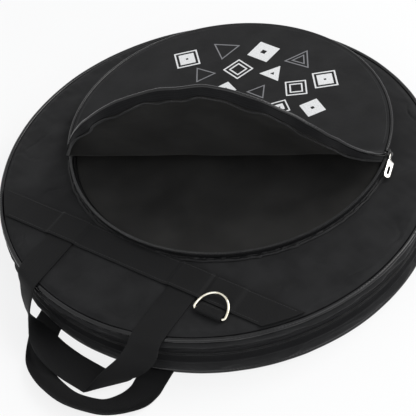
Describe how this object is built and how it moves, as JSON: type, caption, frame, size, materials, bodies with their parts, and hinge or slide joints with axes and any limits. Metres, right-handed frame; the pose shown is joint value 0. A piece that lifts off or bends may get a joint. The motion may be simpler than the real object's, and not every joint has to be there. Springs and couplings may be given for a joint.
{
  "type": "cymbal bag",
  "caption": "Round padded cymbal bag lying flat, with zipped lid, front accessory pocket standing open, webbing handles and a strap ring.",
  "frame": {"origin": "middle of the back panel's flat face, which the bag lies on", "axes": "+Z out of the front, up as the bag lies; -Y towards the carrying handles; X along the cross band"},
  "size_m": [0.562, 0.6366, 0.239],
  "materials": {
    "fabric": "woven, matt",
    "lining": "brushed, matt",
    "piping": "satin",
    "webbing": "woven, low sheen",
    "zip_tape": "woven, matt",
    "zip_metal": "polished",
    "slider_metal": "polished",
    "ring_metal": "polished"
  },
  "bodies": {
    "bag_base": {"back_panel": "fabric", "back_lining": "lining", "lower_gusset": "fabric", "back_piping": "piping", "lower_zip_tape": "zip_tape", "lower_zip_chain": "zip_metal", "spine_panel": "fabric", "back_band": "webbing", "back_leg_left": "webbing", "back_leg_right": "webbing"},
    "main_lid": {"front_panel": "fabric", "front_lining": "lining", "upper_gusset": "fabric", "front_piping": "piping", "upper_zip_tape": "zip_tape", "upper_zip_chain": "zip_metal", "front_band": "webbing", "front_leg_left": "webbing", "front_leg_right": "webbing", "ring_tab": "webbing", "pocket_floor": "lining", "pocket_front_wall": "fabric", "pocket_rear_wall": "fabric", "pocket_zip_tape": "zip_tape", "pocket_zip_chain": "zip_metal", "pocket_rear_lid": "fabric", "pocket_rear_piping": "piping"},
    "flap": {"pocket_flap": "fabric", "flap_lining": "lining", "flap_piping": "piping", "flap_zip_tape": "zip_tape", "flap_zip_chain": "zip_metal"},
    "pocket_slider": {"pocket_slider": "slider_metal"},
    "pocket_pull": {"pocket_pull": "slider_metal"},
    "main_slider_left": {"main_slider_left": "slider_metal"},
    "main_pull_left": {"main_pull_left": "slider_metal"},
    "main_slider_right": {"main_slider_right": "slider_metal"},
    "main_pull_right": {"main_pull_right": "slider_metal"},
    "strap_ring": {"d_ring": "ring_metal"},
    "front_handle": {"front_handle": "webbing"},
    "back_handle": {"back_handle": "webbing"}
  },
  "joints": [
    {"name": "lid_hinge", "type": "hinge", "parent": "bag_base", "child": "main_lid", "pos_m": [0, 0.2795, 0.035], "axis": [-1, 0, 0], "range_deg": [0, 120]},
    {"name": "flap_fold", "type": "hinge", "parent": "main_lid", "child": "flap", "pos_m": [0.0186, -0.00224, 0.0886], "axis": [-0.8999, -0.436, 0], "range_deg": [-40, 45]},
    {"name": "pocket_slider_travel", "type": "hinge", "parent": "main_lid", "child": "pocket_slider", "pos_m": [-0.0055, 0.0475, 0.0781], "axis": [0, 0, 1], "range_deg": [-148, 0]},
    {"name": "pocket_pull_swing", "type": "hinge", "parent": "pocket_slider", "child": "pocket_pull", "pos_m": [0.20351, 0.09345, 0.0781], "axis": [0.0299, -0.1359, 0.9903], "range_deg": [0, 150]},
    {"name": "main_slider_left_travel", "type": "hinge", "parent": "bag_base", "child": "main_slider_left", "pos_m": [0, 0, 0.035], "axis": [0, 0, 1], "range_deg": [0, 283]},
    {"name": "main_pull_left_swing", "type": "hinge", "parent": "main_slider_left", "child": "main_pull_left", "pos_m": [-0.21998, 0.17436, 0.035], "axis": [0.1608, 0.2028, -0.9659], "range_deg": [0, 150]},
    {"name": "main_slider_right_travel", "type": "hinge", "parent": "bag_base", "child": "main_slider_right", "pos_m": [0, 0, 0.035], "axis": [0, 0, 1], "range_deg": [-24, 0]},
    {"name": "main_pull_right_swing", "type": "hinge", "parent": "main_slider_right", "child": "main_pull_right", "pos_m": [-0.21185, 0.18416, 0.035], "axis": [0.1698, 0.1953, 0.9659], "range_deg": [0, 150]},
    {"name": "ring_swing", "type": "hinge", "parent": "main_lid", "child": "strap_ring", "pos_m": [0.128, -0.212, 0.0707], "axis": [1, 0, 0], "range_deg": [0, 160]},
    {"name": "front_handle_swing", "type": "hinge", "parent": "main_lid", "child": "front_handle", "pos_m": [0, -0.2775, 0.068], "axis": [-1, 0, 0], "range_deg": [0, 100]},
    {"name": "back_handle_swing", "type": "hinge", "parent": "bag_base", "child": "back_handle", "pos_m": [0, -0.2775, 0.0025], "axis": [-1, 0, 0], "range_deg": [0, 45]}
  ],
  "couplings": [
    {"joint": "back_handle_swing", "follows": "front_handle_swing", "ratio": 0.45}
  ]
}
